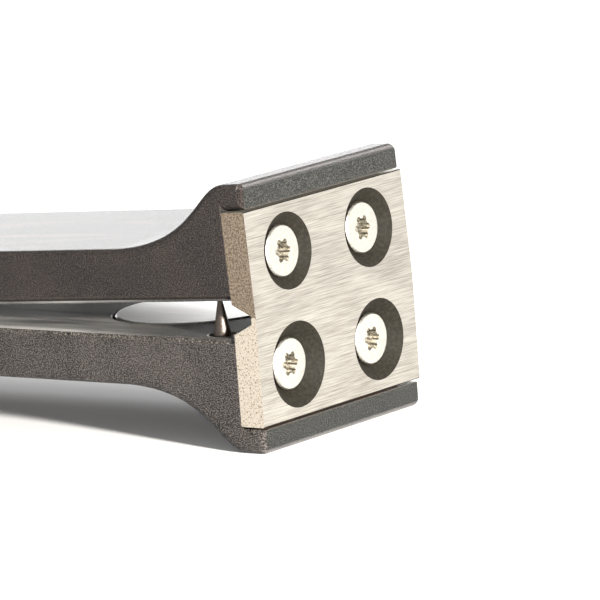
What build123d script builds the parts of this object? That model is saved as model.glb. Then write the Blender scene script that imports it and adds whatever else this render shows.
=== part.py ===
from build123d import *
from math import cos, radians, sin
import os

# Hand-held ice skate sharpener: two mirrored moulded arms joined at the head by a steel hinge plate.
#
# Each half is drawn in its own frame, with the plate's hinge line as the origin, +X towards the front of
# the plate, +Z outwards from the throat and Y across the tool. One moulding serves for both halves: the
# upper half is the lower one turned over about the X axis and then closed by the rest angle.

# The whole tool
tool_width = 37.5
half_height = 19.2  # from the hinge line to the outer face of the head
tool_length = 100.0  # behind the hinge line
rest_angle = 3.0  # how far the upper half is closed at rest, in degrees

# Hinge plate, one steel piece that bends at a thin web across its middle
plate_thickness = 4.0
plate_half_height = 15.3
web_thickness = 0.85
web_half_height = 0.63
groove_half_height = 2.25
plate_front = web_thickness / 2
plate_back = plate_front - plate_thickness
knuckle_radius = 0.42
knuckle_clearance = 0.03
plate_gap = 0.3  # between the plate's edge and the lip

# Arms
throat_half = 2.75
liner_thickness = 0.35
liner_inset = 0.3
liner_length = 56.0
liner_end = plate_back - liner_length
arm_inner = throat_half + liner_thickness
arm_outer = 10.4
relief_inner = 4.5  # the inner face steps back behind the liner
relief_run = 1.5  # length of the step down to it
head_flat_end = -3.2
head_curve_end = -25.0
head_pull = 5.3  # how far behind the flat the head's curve is drawn, at the flat
waist_pull = 5.8  # and at the arm
heel_curve_start = -79.0
heel_flat_start = -95.5
heel_pull = 4.5
edge_radius = 1.1
inner_chamfer = 0.45

# Plate screws, M4 with flat six-lobe heads, in countersinks that are wider than the heads
screw_rows = {"lower": 7.85, "upper": 8.35}
screw_column = 9.65
countersinks = {"lower": (6.15, 5.9), "upper": (5.5, 5.7)}  # rim radii, near column first
screw_radius = 2.0
screw_length = 10.5
head_radius = 3.75
head_rim = 0.85
head_cone = head_radius - screw_radius
clearance_hole = 2.2
insert_radius = 2.6
insert_length = 8.0
insert_setback = 0.3
insert_hole_length = 9.5
recess_depth = 1.5
thread_clearance = 0.02
head_chamfer = 0.2
lobe_circle = 1.35
lobe_radius = 0.45
plate_chamfer = 0.15
liner_chamfer = 0.15

# Cutting cone beside the plate, standing in a steel sleeve
cone_x = plate_back - 4.2
cone_y = tool_width / 2 - 2.7
cone_radius = 1.28
cone_height = 6.4
shank_length = 6.5
sleeve_radius = 2.2
sleeve_mouth = 1.95
sleeve_mouth_depth = 2.0
bearing_clearance = 0.04
tip_relief_radius = 1.6
tip_relief_depth = 2.6
lock_radius = 2.0
lock_length = 5.0
tip_radius = 0.06
sleeve_chamfer = 0.15
thrust_gap = 0.05

# Nickel-plated hone disc on a steel backing, held in its pocket by a magnet
disc_x = plate_back - 20.6
disc_radius = 12.2
disc_proud = 0.15
disc_thickness = 1.5
disc_chamfer = 0.25
disc_gap = 0.45
backing_radius = 11.8
backing_thickness = 0.6
disc_floor_gap = 0.1
pivot_radius = 2.0
pivot_length = 1.4
magnet_radius = 6.0
magnet_thickness = 1.5

# Stop between the free ends of the arms
stop_x = -73.0
stop_insert_radius = 3.0
stop_length = 8.0
stop_proud = 3.45
socket_radius = 1.1
socket_depth = 2.0
stop_chamfer = 0.4

disc_face = throat_half - disc_proud
disc_back = disc_face + disc_thickness
pocket_floor = disc_back + backing_thickness + disc_floor_gap
standing = (Align.CENTER, Align.CENTER, Align.MIN)
slack = 0.1  # for picking edges by where they lie

hinge_setback = 1.4  # from the middle of the flat under the head to the hinge line
hinge_point = Vector(hinge_setback, 0, half_height)
lower_frame = Plane(origin=hinge_point, x_dir=(1, 0, 0), z_dir=(0, 0, -1))
tilt = radians(rest_angle)
upper_frame = Plane(
    origin=hinge_point,
    x_dir=(cos(tilt), 0, sin(tilt)),
    z_dir=(-sin(tilt), 0, cos(tilt)),
)

os.makedirs("parts", exist_ok=True)


def finish(builder, name, frame):
    """Puts a finished piece in its place on the tool, names it and writes it."""
    builder.part = frame.from_local_coords(builder.part)
    builder.part.label = name
    export_step(builder.part, f"parts/{name}.step")


def bore(x, y, start, length, radius):
    """Cuts a round hole outwards from height `start` in the piece being built."""
    with Locations((x, y, start)):
        Cylinder(radius, length, align=standing, mode=Mode.SUBTRACT)


def side_edges(builder):
    """The edges round the two flat sides of the piece being built."""
    by_side = builder.faces().sort_by(Axis.Y)
    return by_side[0].edges() + by_side[-1].edges()


def screw_places(half):
    """The half's two plate screws, as (across, outwards, countersink rim radius)."""
    near_side = 1 if half == "lower" else -1
    near_rim, far_rim = countersinks[half]
    yield near_side * screw_column, screw_rows[half], near_rim
    yield -near_side * screw_column, screw_rows[half], far_rim


def lengthwise(column, row):
    """A plane through a screw's axis, with the tool's length as its X axis and outwards as its Y axis."""
    return Plane(origin=(0, column, row), x_dir=(1, 0, 0), z_dir=(0, -1, 0))


def screw_axis(column, row):
    """The axis of a plate screw."""
    return Axis((0, column, row), (1, 0, 0))


def make_body(half, frame):
    """The moulding: a head with a lip over the plate, a straight arm and a heel at the free end."""
    lip_inner = plate_half_height + plate_gap
    with BuildPart() as body:
        with BuildSketch(Plane.XZ):
            with BuildLine():
                Polyline(
                    (plate_back, arm_inner),
                    (plate_back, lip_inner),
                    (plate_front, lip_inner),
                    (plate_front, half_height),
                    (head_flat_end, half_height),
                )
                Bezier(
                    (head_flat_end, half_height),
                    (head_flat_end - head_pull, half_height),
                    (head_flat_end - waist_pull, arm_outer),
                    (head_curve_end, arm_outer),
                )
                Line((head_curve_end, arm_outer), (heel_curve_start, arm_outer))
                Bezier(
                    (heel_curve_start, arm_outer),
                    (heel_flat_start + heel_pull, arm_outer),
                    (heel_flat_start + heel_pull, half_height),
                    (heel_flat_start, half_height),
                )
                Polyline(
                    (heel_flat_start, half_height),
                    (-tool_length, half_height),
                    (-tool_length, relief_inner),
                    (liner_end - relief_run, relief_inner),
                    (liner_end, arm_inner),
                    (plate_back, arm_inner),
                )
            make_face()
        extrude(amount=tool_width / 2, both=True)
        inner_edges = [edge for edge in side_edges(body) if edge.center().Z < relief_inner + slack]
        chamfer(inner_edges, inner_chamfer)
        outer_edges = [
            edge
            for edge in side_edges(body)
            if edge.center().Z > arm_outer - slack and abs(edge.center().X - plate_back) > slack
        ]
        crosswise = body.edges().filter_by(Axis.Y).group_by(Axis.Z)[-1]
        ends = crosswise.sort_by(Axis.X)[0], crosswise.sort_by(Axis.X)[-1]
        fillet([*outer_edges, *ends], edge_radius)
        for column, row, _ in screw_places(half):
            with Locations(Location((plate_back, column, row), (0, -90, 0))):
                Cylinder(insert_radius, insert_hole_length, align=standing, mode=Mode.SUBTRACT)
        bore(cone_x, cone_y, arm_inner, half_height, lock_radius + thread_clearance)
        bore(cone_x, cone_y, arm_inner, shank_length - liner_thickness, sleeve_radius)
        bore(cone_x, -cone_y, arm_inner, tip_relief_depth - liner_thickness, tip_relief_radius)
        bore(disc_x, 0, arm_inner, pocket_floor - arm_inner, disc_radius + disc_gap)
        bore(disc_x, 0, arm_inner, pocket_floor + magnet_thickness - arm_inner, magnet_radius)
        bore(stop_x, 0, relief_inner, arm_outer - relief_inner, stop_insert_radius)
    finish(body, f"{half}_body", frame)


def make_liner(half, frame):
    """The thin wear strip on the arm's inner face, open round the cone, its tip's relief and the disc."""
    with BuildPart() as liner:
        with Locations((plate_back, 0, throat_half)):
            Box(
                liner_length,
                tool_width - 2 * liner_inset,
                liner_thickness,
                align=(Align.MAX, Align.CENTER, Align.MIN),
            )
        chamfer(liner.edges().filter_by(Axis.X).group_by(Axis.Z)[0], liner_chamfer)
        bore(cone_x, cone_y, throat_half, liner_thickness, sleeve_radius)
        bore(cone_x, -cone_y, throat_half, liner_thickness, tip_relief_radius)
        bore(disc_x, 0, throat_half, liner_thickness, disc_radius + disc_gap)
        rims = liner.edges().filter_by(GeomType.CIRCLE).group_by(Axis.Z)[0]
        chamfer(rims.sort_by(SortBy.RADIUS)[-1], liner_chamfer)
    finish(liner, f"{half}_liner", frame)


def make_plate_leaf(half, frame):
    """One leaf of the hinge plate. The lower leaf ends in the round nose that the upper one bends on."""
    with BuildPart() as leaf:
        with BuildSketch(Plane.XZ):
            with BuildLine():
                Polyline(
                    (plate_front, 0),
                    (plate_front, plate_half_height),
                    (plate_back, plate_half_height),
                    (plate_back, groove_half_height),
                    (-web_thickness / 2, web_half_height),
                    (-web_thickness / 2, 0),
                    close=True,
                )
            make_face()
            if half == "upper":
                Circle(knuckle_radius + knuckle_clearance, mode=Mode.SUBTRACT)
            else:
                Circle(knuckle_radius)
        extrude(amount=tool_width / 2, both=True)
        chamfer(leaf.edges().filter_by(Axis.Y).group_by(Axis.Z)[-1], plate_chamfer)
        for column, row, rim in screw_places(half):
            with BuildSketch(lengthwise(column, row)):
                Polygon(
                    (plate_front, 0),
                    (plate_front, rim),
                    (plate_front - rim + clearance_hole, clearance_hole),
                    (plate_back, clearance_hole),
                    (plate_back, 0),
                    align=None,
                )
            revolve(axis=screw_axis(column, row), mode=Mode.SUBTRACT)
    finish(leaf, f"{half}_plate_leaf", frame)


def make_plate_screws(half, frame):
    """The two flat-headed screws of one leaf, each seated where its countersink fits its head."""
    with BuildPart() as screws:
        for column, row, rim in screw_places(half):
            seat = plate_front - rim + head_radius + thread_clearance
            top = seat + head_rim
            with BuildSketch(lengthwise(column, row)):
                Polygon(
                    (top, 0),
                    (top, head_radius - head_chamfer),
                    (top - head_chamfer, head_radius),
                    (seat, head_radius),
                    (seat - head_cone, screw_radius),
                    (seat - screw_length, screw_radius),
                    (seat - screw_length, 0),
                    align=None,
                )
            revolve(axis=screw_axis(column, row))
            with BuildSketch(Plane(origin=(top, column, row), x_dir=(0, 1, 0), z_dir=(1, 0, 0))):
                Circle(lobe_circle)
                with PolarLocations(lobe_circle, 6):
                    Circle(lobe_radius)
            extrude(amount=-recess_depth, mode=Mode.SUBTRACT)
    finish(screws, f"{half}_plate_screws", frame)


def make_screw_inserts(half, frame):
    """The two threaded inserts that the plate screws go into."""
    with BuildPart() as inserts:
        for column, row, _ in screw_places(half):
            with Locations(Location((plate_back - insert_setback, column, row), (0, -90, 0))):
                Cylinder(insert_radius, insert_length, align=standing)
                Cylinder(screw_radius + thread_clearance, insert_length, align=standing, mode=Mode.SUBTRACT)
    finish(inserts, f"{half}_screw_inserts", frame)


def make_cone(side, frame):
    """The cutting cone: a pointed head across the throat on a round shank."""
    with BuildPart() as cone:
        with BuildSketch(Plane((cone_x, cone_y, throat_half), x_dir=(1, 0, 0), z_dir=(0, -1, 0))):
            Polygon(
                (0, -cone_height),
                (tip_radius, -cone_height),
                (cone_radius, 0),
                (cone_radius, shank_length),
                (0, shank_length),
                align=None,
            )
        revolve(axis=Axis((cone_x, cone_y, 0), (0, 0, 1)))
    finish(cone, f"{side}_cone", frame)


def make_cone_sleeve(side, frame):
    """The steel sleeve that the cone's shank turns in, with a wide countersunk mouth."""
    with BuildPart() as sleeve:
        with Locations((cone_x, cone_y, throat_half)):
            Cylinder(sleeve_radius, shank_length, align=standing)
        bore(cone_x, cone_y, throat_half, shank_length, cone_radius + bearing_clearance)
        bore(cone_x, cone_y, throat_half, sleeve_mouth_depth, sleeve_mouth)
        chamfer(sleeve.edges().group_by(Axis.Z)[0].sort_by(SortBy.RADIUS)[0], sleeve_chamfer)
    finish(sleeve, f"{side}_cone_sleeve", frame)


def make_cone_lock_screw(side, frame):
    """The grub screw behind the cone, which sets how far it stands out."""
    lock_start = throat_half + shank_length + thrust_gap
    with BuildPart() as lock:
        with Locations((cone_x, cone_y, lock_start)):
            Cylinder(lock_radius, lock_length, align=standing)
        with BuildSketch(Plane(origin=(cone_x, cone_y, lock_start + lock_length))):
            RegularPolygon(socket_radius, 6)
        extrude(amount=-socket_depth, mode=Mode.SUBTRACT)
    finish(lock, f"{side}_cone_lock_screw", frame)


def make_disc(half, frame):
    """The hone disc, a little proud of the liner."""
    with BuildPart() as disc:
        with Locations((disc_x, 0, disc_face)):
            Cylinder(disc_radius, disc_thickness, align=standing)
        chamfer(disc.edges().group_by(Axis.Z)[0], disc_chamfer)
    finish(disc, f"{half}_disc", frame)


def make_disc_backing(half, frame):
    """The steel backing plate bonded behind the disc, with the pivot that it turns on."""
    with BuildPart() as backing:
        with Locations((disc_x, 0, disc_back)):
            Cylinder(backing_radius, backing_thickness, align=standing)
        with Locations((disc_x, 0, disc_back + backing_thickness)):
            Cylinder(pivot_radius, pivot_length, align=standing)
    finish(backing, f"{half}_disc_backing", frame)


def make_disc_magnet(half, frame):
    """The ring magnet under the disc, which holds it down and is its bearing."""
    with BuildPart() as magnet:
        with Locations((disc_x, 0, pocket_floor)):
            Cylinder(magnet_radius, magnet_thickness, align=standing)
        bore(disc_x, 0, pocket_floor, magnet_thickness, pivot_radius + bearing_clearance)
    finish(magnet, f"{half}_disc_magnet", frame)


def make_stop_screw():
    """The grub screw in the lower arm that the upper arm meets when the tool is squeezed shut."""
    with BuildPart() as stop:
        with Locations((stop_x, 0, relief_inner - stop_proud)):
            Cylinder(screw_radius, stop_length, align=standing)
        chamfer(stop.edges().group_by(Axis.Z)[0], stop_chamfer)
        with BuildSketch(Plane(origin=(stop_x, 0, relief_inner - stop_proud + stop_length))):
            RegularPolygon(socket_radius, 6)
        extrude(amount=-socket_depth, mode=Mode.SUBTRACT)
    finish(stop, "stop_screw", lower_frame)


def make_stop_insert():
    """The threaded insert of the stop screw."""
    with BuildPart() as insert:
        with Locations((stop_x, 0, relief_inner)):
            Cylinder(stop_insert_radius, arm_outer - relief_inner, align=standing)
        bore(stop_x, 0, relief_inner, arm_outer - relief_inner, screw_radius + thread_clearance)
    finish(insert, "stop_screw_insert", lower_frame)


def make_stop_button():
    """The hard button in the upper arm that the stop screw's tip meets."""
    with BuildPart() as button:
        with Locations((stop_x, 0, relief_inner)):
            Cylinder(stop_insert_radius, arm_outer - relief_inner, align=standing)
        chamfer(button.edges().group_by(Axis.Z)[0], stop_chamfer)
    finish(button, "stop_button", upper_frame)


for half, frame, side in (("lower", lower_frame, "near"), ("upper", upper_frame, "far")):
    make_body(half, frame)
    make_liner(half, frame)
    make_plate_leaf(half, frame)
    make_plate_screws(half, frame)
    make_screw_inserts(half, frame)
    make_disc(half, frame)
    make_disc_backing(half, frame)
    make_disc_magnet(half, frame)
    make_cone(side, frame)
    make_cone_sleeve(side, frame)
    make_cone_lock_screw(side, frame)
make_stop_screw()
make_stop_insert()
make_stop_button()
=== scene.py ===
from math import cos, radians, sin

import bpy
from mathutils import Matrix, Vector


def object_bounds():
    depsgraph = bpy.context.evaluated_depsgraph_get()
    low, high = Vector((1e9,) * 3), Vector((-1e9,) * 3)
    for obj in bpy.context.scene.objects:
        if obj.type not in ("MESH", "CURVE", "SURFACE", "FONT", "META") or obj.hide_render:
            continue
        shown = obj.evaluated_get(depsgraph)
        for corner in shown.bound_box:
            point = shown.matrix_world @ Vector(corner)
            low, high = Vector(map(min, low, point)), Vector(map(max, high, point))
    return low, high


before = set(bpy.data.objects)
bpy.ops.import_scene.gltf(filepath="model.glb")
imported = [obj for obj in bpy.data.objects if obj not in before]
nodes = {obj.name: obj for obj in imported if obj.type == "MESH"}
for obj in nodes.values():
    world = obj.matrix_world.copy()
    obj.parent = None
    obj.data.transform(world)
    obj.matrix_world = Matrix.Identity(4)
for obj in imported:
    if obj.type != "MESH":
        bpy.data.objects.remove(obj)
cad_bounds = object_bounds()
scene = bpy.context.scene
MM = 0.001
WHITE = (1, 1, 1)

# The point on the hinge line, halfway up the head, that the camera and the lights aim at.
HEAD_CENTRE = Vector((0, 0, 0.019))

# A mix node's sockets for each kind of value: the factor, the low end, the high end, the result.
MIX_SOCKETS = {"RGBA": (0, 6, 7, 2), "FLOAT": (0, 2, 3, 0)}


def set_input(tree, socket, value):
    """Links a socket to a node's output, or sets it to a constant."""
    if isinstance(value, bpy.types.NodeSocket):
        tree.links.new(value, socket)
    elif isinstance(value, tuple) and len(socket.default_value) == 4:
        socket.default_value = (*value, 1)
    else:
        socket.default_value = value


def blend(tree, kind, mask, low, high):
    """A value of the given kind that goes from low to high as the mask goes from 0 to 1."""
    mix = tree.nodes.new("ShaderNodeMix")
    mix.data_type = kind
    *inputs, result = MIX_SOCKETS[kind]
    for index, value in zip(inputs, (mask, low, high)):
        set_input(tree, mix.inputs[index], value)
    return mix.outputs[result]


def blend_colours(tree, mask, low, high):
    """A colour that goes from low to high as the mask goes from 0 to 1."""
    return blend(tree, "RGBA", mask, low, high)


def blend_values(tree, mask, low, high):
    """A number that goes from low to high as the mask goes from 0 to 1."""
    return blend(tree, "FLOAT", mask, low, high)


def calculate(tree, operation, first, second=0.0):
    """One step of arithmetic."""
    step = tree.nodes.new("ShaderNodeMath")
    step.operation = operation
    set_input(tree, step.inputs[0], first)
    set_input(tree, step.inputs[1], second)
    return step.outputs[0]


def multiply(tree, first, second):
    """The product of two values. The product of two masks is 1 where both are."""
    return calculate(tree, "MULTIPLY", first, second)


def add(tree, first, second):
    """The sum of two values."""
    return calculate(tree, "ADD", first, second)


def invert(tree, mask):
    """1 where the mask is 0, and 0 where it is 1."""
    return calculate(tree, "SUBTRACT", 1.0, mask)


def ramp(tree, value, start, end):
    """A smooth step: 0 below start, 1 above end."""
    remap = tree.nodes.new("ShaderNodeMapRange")
    remap.interpolation_type = "SMOOTHSTEP"
    for socket, given in zip(remap.inputs, (value, start, end, 0.0, 1.0)):
        set_input(tree, socket, given)
    return remap.outputs[0]


def own_axes(tree, output):
    """The piece's own position in metres ("Object") or its own "Normal", split into X, Y and Z."""
    texture = tree.nodes.new("ShaderNodeTexCoord")
    split = tree.nodes.new("ShaderNodeSeparateXYZ")
    tree.links.new(texture.outputs[output], split.inputs[0])
    return split.outputs


def noise(tree, grain, detail=2.0, roughness=0.5, distortion=0.0):
    """Noise whose grain is given in millimetres, as one size or as sizes along X, Y and Z."""
    sizes = grain if isinstance(grain, tuple) else (grain, grain, grain)
    texture = tree.nodes.new("ShaderNodeTexCoord")
    stretch = tree.nodes.new("ShaderNodeMapping")
    stretch.inputs["Scale"].default_value = [1 / (size * MM) for size in sizes]
    speckle = tree.nodes.new("ShaderNodeTexNoise")
    tree.links.new(texture.outputs["Object"], stretch.inputs["Vector"])
    tree.links.new(stretch.outputs["Vector"], speckle.inputs["Vector"])
    speckle.inputs["Scale"].default_value = 1.0
    speckle.inputs["Detail"].default_value = detail
    speckle.inputs["Roughness"].default_value = roughness
    speckle.inputs["Distortion"].default_value = distortion
    return speckle.outputs["Fac"]


def openness(tree, reach):
    """1 where nothing shadows the surface within the given reach in millimetres, else less."""
    occlusion = tree.nodes.new("ShaderNodeAmbientOcclusion")
    occlusion.samples = 8
    occlusion.inputs["Distance"].default_value = reach * MM
    return occlusion.outputs["AO"]


def bump(tree, height, depth):
    """Raises the surface by the height, where 1 stands for the given depth in millimetres."""
    relief = tree.nodes.new("ShaderNodeBump")
    relief.inputs["Strength"].default_value = 1.0
    relief.inputs["Distance"].default_value = depth * MM
    tree.links.new(height, relief.inputs["Height"])
    return relief.outputs["Normal"]


def worn_edges(tree, radius):
    """1 on sharp edges and 0 on flat faces, from how far a small bevel turns the normal."""
    bevel = tree.nodes.new("ShaderNodeBevel")
    bevel.samples = 4
    bevel.inputs["Radius"].default_value = radius * MM
    face = tree.nodes.new("ShaderNodeNewGeometry")
    agree = tree.nodes.new("ShaderNodeVectorMath")
    agree.operation = "DOT_PRODUCT"
    tree.links.new(bevel.outputs["Normal"], agree.inputs[0])
    tree.links.new(face.outputs["Normal"], agree.inputs[1])
    return ramp(tree, invert(tree, agree.outputs["Value"]), 0.01, 0.2)


def new_material(name, metallic=0.0, specular=0.5):
    """A material with a node tree, and its surface shader."""
    material = bpy.data.materials.new(name)
    material.use_nodes = True
    tree = material.node_tree
    surface = tree.nodes["Principled BSDF"]
    surface.inputs["Metallic"].default_value = metallic
    surface.inputs["Specular IOR Level"].default_value = specular
    return material, tree, surface


def finish(tree, surface, colour, roughness, relief=None):
    """Gives the surface its colour, roughness and relief."""
    set_input(tree, surface.inputs["Base Color"], colour)
    set_input(tree, surface.inputs["Roughness"], roughness)
    if relief is not None:
        tree.links.new(relief, surface.inputs["Normal"])


def moulding_material(name, dark, pale, dusty):
    """Near-black moulded plastic: grained on sides and head, smoother on the broad face."""
    lip_dark, lip_pale = (0.003, 0.003, 0.003), (0.034, 0.035, 0.030)
    reflection_brown = (0.058, 0.040, 0.030)
    dust_grey = (0.26, 0.235, 0.195)
    worn_brown, wear = (0.18, 0.14, 0.11), 0.3
    grained_shine, brow_shine, broad_shine = 0.3, 0.9, 0.07
    grained_rough, smooth_rough = 0.5, 0.28
    smooth_relief = 0.12

    # The arm's broad face, the lip's front, the brow that rounds into the head, and the ledge
    # along the arm's upper edges, where dust settles.
    material, tree, surface = new_material(name, specular=grained_shine)
    normal = own_axes(tree, "Normal")
    level = calculate(tree, "ABSOLUTE", normal[2])
    broad = ramp(tree, level, 0.9, 0.98)
    front = ramp(tree, normal[0], 0.8, 0.95)
    brow = multiply(tree, ramp(tree, level, 0.2, 0.4), ramp(tree, normal[0], 0.1, 0.3))
    slanted, flat = ramp(tree, normal[2], 0.5, 0.6), ramp(tree, normal[2], 0.85, 0.95)
    ledge = calculate(tree, "SUBTRACT", slanted, flat)
    smooth = calculate(tree, "MAXIMUM", broad, brow)

    grain = noise(tree, (0.26, 0.26, 0.17), 2, 0.55)
    speck = ramp(tree, grain, 0.46, 0.58)
    tone = ramp(tree, noise(tree, 9.0, 3), 0.3, 0.7)
    shade = add(tree, multiply(tree, speck, 0.8), multiply(tree, tone, 0.2))
    colour = blend_colours(tree, shade, dark, pale)
    colour = blend_colours(tree, front, colour, blend_colours(tree, speck, lip_dark, lip_pale))
    # Painted reflection: a faint brown streak on the broad faces stands in for a brown object
    # mirrored in them.
    painted_reflection = ramp(tree, noise(tree, (26.0, 5.0, 5.0), 2, 0.5, 0.6), 0.48, 0.75)
    colour = blend_colours(tree, multiply(tree, painted_reflection, broad), colour, reflection_brown)
    if dusty:
        dust = multiply(tree, ledge, ramp(tree, noise(tree, 0.26, 3, 0.6), 0.55, 0.65))
        colour = blend_colours(tree, dust, colour, dust_grey)
    worn = multiply(tree, worn_edges(tree, 0.4), multiply(tree, invert(tree, ledge), wear))
    colour = blend_colours(tree, worn, colour, worn_brown)

    shine = blend_values(tree, brow, grained_shine, brow_shine)
    shine = blend_values(tree, broad, shine, broad_shine)
    set_input(tree, surface.inputs["Specular IOR Level"], shine)
    rough = blend_values(tree, smooth, grained_rough, smooth_rough)
    height = multiply(tree, grain, blend_values(tree, smooth, 1.0, smooth_relief))
    finish(tree, surface, colour, rough, bump(tree, height, 0.5))
    return material


def liner_material():
    """Dark wear strip, paler in streaks away from the head, and dusted with specks of metal."""
    plain, streak_grey = (0.030, 0.028, 0.026), (0.19, 0.185, 0.175)
    dust_grey, dust_share = (0.24, 0.22, 0.19), 0.4
    streaks_until, plain_from = -0.030, -0.014  # places along X, in metres

    material, tree, surface = new_material("speckled_liner")
    unmarked = ramp(tree, own_axes(tree, "Object")[0], streaks_until, plain_from)
    streaks = ramp(tree, noise(tree, (30.0, 4.0, 4.0), 3, 0.6), 0.3, 0.55)
    colour = blend_colours(tree, multiply(tree, streaks, invert(tree, unmarked)), plain, streak_grey)
    dust = ramp(tree, noise(tree, 0.28, 4, 0.75), 0.52, 0.66)
    colour = blend_colours(tree, multiply(tree, dust, dust_share), colour, dust_grey)
    finish(tree, surface, colour, 0.5, bump(tree, noise(tree, 0.3, 3), 0.05))
    return material


def plate_material(name, cut_light, cut_dark, crumb_start):
    """Brushed steel, with rough saw-cut edges of the given two colours and countersinks coloured
    near black as painted shade.
    """
    steel_dark, steel_light = (0.265, 0.245, 0.215), (0.53, 0.505, 0.455)
    sunk_shade_dark, sunk_shade_light = (0.008, 0.007, 0.005), (0.017, 0.015, 0.011)
    steel_rough, sunk_rough, cut_rough = 0.45, 0.7, 0.8
    steel_shine, sunk_shine = 0.3, 0.1
    cut_metallic = 0.1
    crumb_end = crumb_start + 0.14

    material, tree, surface = new_material(name, specular=steel_shine)
    normal = own_axes(tree, "Normal")
    front = ramp(tree, normal[0], 0.9, 0.96)
    side = ramp(tree, calculate(tree, "ABSOLUTE", normal[1]), 0.85, 0.95)
    sunk = multiply(tree, ramp(tree, normal[0], 0.5, 0.6), invert(tree, front))

    fine = noise(tree, (0.09, 4.5, 0.09), 2, 0.6)
    coarse = noise(tree, (0.16, 11.0, 0.16), 2, 0.6)
    patches = noise(tree, (8.0, 9.0, 3.5), 3, 0.5)
    lines = add(tree, multiply(tree, fine, 0.5), multiply(tree, coarse, 0.3))
    brushed = ramp(tree, add(tree, lines, multiply(tree, patches, 0.2)), 0.34, 0.66)
    steel = blend_colours(tree, brushed, steel_dark, steel_light)
    # Painted shade: the countersinks are coloured near black, mottled.
    shade_mottle = ramp(tree, noise(tree, 0.5, 4, 0.7), 0.35, 0.7)
    sunk_shade = blend_colours(tree, shade_mottle, sunk_shade_dark, sunk_shade_light)
    crumbs = ramp(tree, noise(tree, 0.26, 4, 0.7), crumb_start, crumb_end)
    cut = blend_colours(tree, crumbs, cut_dark, cut_light)
    colour = blend_colours(tree, side, blend_colours(tree, sunk, steel, sunk_shade), cut)

    shine = blend_values(tree, sunk, steel_shine, sunk_shine)
    set_input(tree, surface.inputs["Specular IOR Level"], shine)
    metallic = blend_values(tree, side, invert(tree, sunk), cut_metallic)
    set_input(tree, surface.inputs["Metallic"], metallic)
    rough = blend_values(tree, sunk, steel_rough, sunk_rough)
    rough = blend_values(tree, side, rough, cut_rough)
    height = blend_values(tree, side, multiply(tree, lines, 0.15), noise(tree, 0.28, 4, 0.7))
    finish(tree, surface, colour, rough, bump(tree, height, 0.09))
    return material


def screw_material():
    """Bright plated steel, with painted shade inside the recess and on the threads."""
    bright_dark, bright_light = (0.60, 0.575, 0.51), (0.72, 0.70, 0.635)
    recess_shade_dark, recess_shade_light = (0.15, 0.14, 0.115), (0.50, 0.47, 0.41)

    material, tree, surface = new_material("plated_steel", metallic=1.0)
    marks = noise(tree, 0.4, 4, 0.7)
    bright = blend_colours(tree, ramp(tree, marks, 0.35, 0.65), bright_dark, bright_light)
    shade_mottle = blend_colours(tree, ramp(tree, marks, 0.4, 0.6), recess_shade_dark, recess_shade_light)
    # Painted shade: the metal is coloured darker where nearby surfaces close it in, inside the
    # recess and on the threads.
    unmarked = ramp(tree, openness(tree, 2.0), 0.55, 0.8)
    colour = blend_colours(tree, unmarked, shade_mottle, bright)
    finish(tree, surface, colour, 0.35, bump(tree, marks, 0.02))
    return material


def disc_material():
    """Bright nickel plate with a fine abrasive, faintly greyed by the blades."""
    bright, greyed, speck_grey = (0.97, 0.965, 0.95), (0.90, 0.89, 0.87), (0.66, 0.64, 0.61)

    material, tree, surface = new_material("nickel_abrasive", metallic=1.0)
    streaks = ramp(tree, noise(tree, (14.0, 3.0, 3.0), 3, 0.6), 0.35, 0.7)
    specks = ramp(tree, noise(tree, 0.25, 3, 0.6), 0.66, 0.72)
    colour = blend_colours(tree, streaks, bright, greyed)
    colour = blend_colours(tree, specks, colour, speck_grey)
    finish(tree, surface, colour, 0.3, bump(tree, noise(tree, 0.4, 3), 0.004))
    return material


def metal_material(name, dark, light, roughness, grain):
    """Machined metal with fine marks of the given grain in millimetres."""
    smoothest, roughest = roughness * 0.8, roughness * 1.2
    material, tree, surface = new_material(name, metallic=1.0)
    marks = noise(tree, grain, 4, 0.6)
    colour = blend_colours(tree, ramp(tree, marks, 0.3, 0.7), dark, light)
    rough = blend_values(tree, marks, smoothest, roughest)
    finish(tree, surface, colour, rough, bump(tree, marks, 0.01))
    return material


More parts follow.
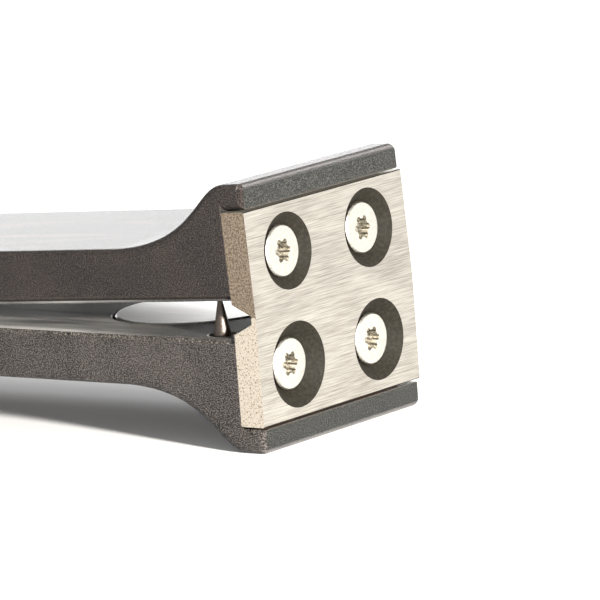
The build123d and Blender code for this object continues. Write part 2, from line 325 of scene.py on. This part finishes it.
def paint_nodes():
    """Gives every CAD node its material."""
    # Both halves are one moulding; the lower half's is coloured lighter than the upper's, and that
    # difference is painted light and shade.
    mouldings = {
        "lower": moulding_material(
            "dusty_moulding_painted_lit", (0.002, 0.001, 0.001), (0.096, 0.083, 0.076), True
        ),
        "upper": moulding_material(
            "clean_moulding_painted_shaded", (0.001, 0.001, 0.001), (0.040, 0.029, 0.024), False
        ),
    }
    # Both leaves are one plate; the lower leaf's cut faces are coloured lighter than the upper
    # leaf's, and that difference is painted light and shade.
    plates = {
        "lower": plate_material(
            "steel_cut_painted_lit", (0.35, 0.315, 0.265), (0.11, 0.08, 0.05), 0.36
        ),
        "upper": plate_material(
            "steel_cut_painted_shaded", (0.165, 0.13, 0.095), (0.065, 0.048, 0.033), 0.42
        ),
    }
    liner = liner_material()
    screw = screw_material()
    disc = disc_material()
    brass = metal_material(
        "turned_brass", (0.50, 0.36, 0.14), (0.72, 0.56, 0.27), 0.35, (0.1, 0.1, 2.0)
    )
    magnet = metal_material(
        "plated_magnet", (0.60, 0.60, 0.60), (0.75, 0.75, 0.75), 0.25, 0.6
    )
    cone = metal_material(
        "ground_cone", (0.07, 0.056, 0.048), (0.15, 0.125, 0.11), 0.46, (0.4, 0.4, 0.08)
    )
    sleeve = metal_material(
        "turned_sleeve", (0.45, 0.43, 0.40), (0.65, 0.63, 0.60), 0.3, (0.5, 0.5, 0.1)
    )
    blackened = metal_material(
        "blackened_steel", (0.03, 0.03, 0.032), (0.06, 0.06, 0.06), 0.45, 0.4
    )
    finishes = {"stop_screw": blackened, "stop_screw_insert": brass, "stop_button": sleeve}
    for half in ("lower", "upper"):
        finishes[f"{half}_body"] = mouldings[half]
        finishes[f"{half}_liner"] = liner
        finishes[f"{half}_plate_leaf"] = plates[half]
        finishes[f"{half}_plate_screws"] = screw
        finishes[f"{half}_screw_inserts"] = brass
        finishes[f"{half}_disc"] = disc
        finishes[f"{half}_disc_backing"] = magnet
        finishes[f"{half}_disc_magnet"] = magnet
    for side in ("near", "far"):
        finishes[f"{side}_cone"] = cone
        finishes[f"{side}_cone_sleeve"] = sleeve
        finishes[f"{side}_cone_lock_screw"] = blackened
    for name, piece in nodes.items():
        piece.data.materials.clear()
        piece.data.materials.append(finishes[name])


def direction(azimuth, elevation):
    """Unit vector towards a viewer, where azimuth 0 looks along +Y."""
    a, e = radians(azimuth), radians(elevation)
    return Vector((sin(a) * cos(e), -cos(a) * cos(e), sin(e)))


def add_light(name, azimuth, elevation, distance, width, height, power, colour=WHITE):
    """A rectangular soft light aimed at the tool's head."""
    data = bpy.data.lights.new(name, "AREA")
    data.shape = "RECTANGLE"
    data.size = width
    data.size_y = height
    data.energy = power
    data.color = colour
    light = bpy.data.objects.new(name, data)
    towards = direction(azimuth, elevation)
    light.location = HEAD_CENTRE + towards * distance
    light.rotation_euler = towards.to_track_quat("Z", "Y").to_euler()
    scene.collection.objects.link(light)


def add_floor():
    """A plain pale floor just under the tool."""
    half_width, gap = 6.0, 0.00002
    low = cad_bounds[0][2] - gap
    signs = ((-1, -1), (1, -1), (1, 1), (-1, 1))
    mesh = bpy.data.meshes.new("floor")
    corners = [(x * half_width, y * half_width, low) for x, y in signs]
    mesh.from_pydata(corners, [], [(0, 1, 2, 3)])
    floor = bpy.data.objects.new("floor", mesh)
    material, tree, surface = new_material("pale_floor", specular=0.1)
    tint = blend_colours(tree, noise(tree, 60.0, 2), (0.88, 0.88, 0.88), (0.90, 0.90, 0.90))
    finish(tree, surface, tint, 0.9)
    mesh.materials.append(material)
    scene.collection.objects.link(floor)


def add_camera():
    """A long lens, low and from the front right, with the head in the right half of the view."""
    azimuth, elevation, roll, distance = 37.10, 9.61, radians(-4.30), 0.9192
    back = direction(azimuth, elevation)
    level = Vector((cos(radians(azimuth)), sin(radians(azimuth)), 0))
    upright = back.cross(level)
    right = level * cos(roll) + upright * sin(roll)
    up = back.cross(right)
    data = bpy.data.cameras.new("camera")
    data.sensor_width = 36.0
    data.lens = 388.7
    data.shift_x = -0.0420
    data.shift_y = -0.0036
    camera = bpy.data.objects.new("camera", data)
    turn = Matrix((right, up, back)).transposed()
    camera.matrix_world = Matrix.Translation(HEAD_CENTRE + back * distance) @ turn.to_4x4()
    scene.collection.objects.link(camera)
    scene.camera = camera


def add_world(strength):
    """Even white light from all round."""
    world = bpy.data.worlds.new("white_room")
    world.use_nodes = True
    backdrop = world.node_tree.nodes["Background"]
    backdrop.inputs["Color"].default_value = (*WHITE, 1)
    backdrop.inputs["Strength"].default_value = strength
    scene.world = world


paint_nodes()
add_floor()
add_camera()
add_world(0.6)
# A small warm key light low on the right, a wide one low behind, and a faint one above the back.
add_light("key", 70, 11, 1.2, 0.09, 0.09, 75, (1.0, 0.97, 0.92))
add_light("rear", 217, 7, 1.5, 1.4, 0.34, 6.5)
add_light("top", 168, 40, 1.3, 0.5, 0.5, 4.5)
scene.view_settings.view_transform = "Standard"
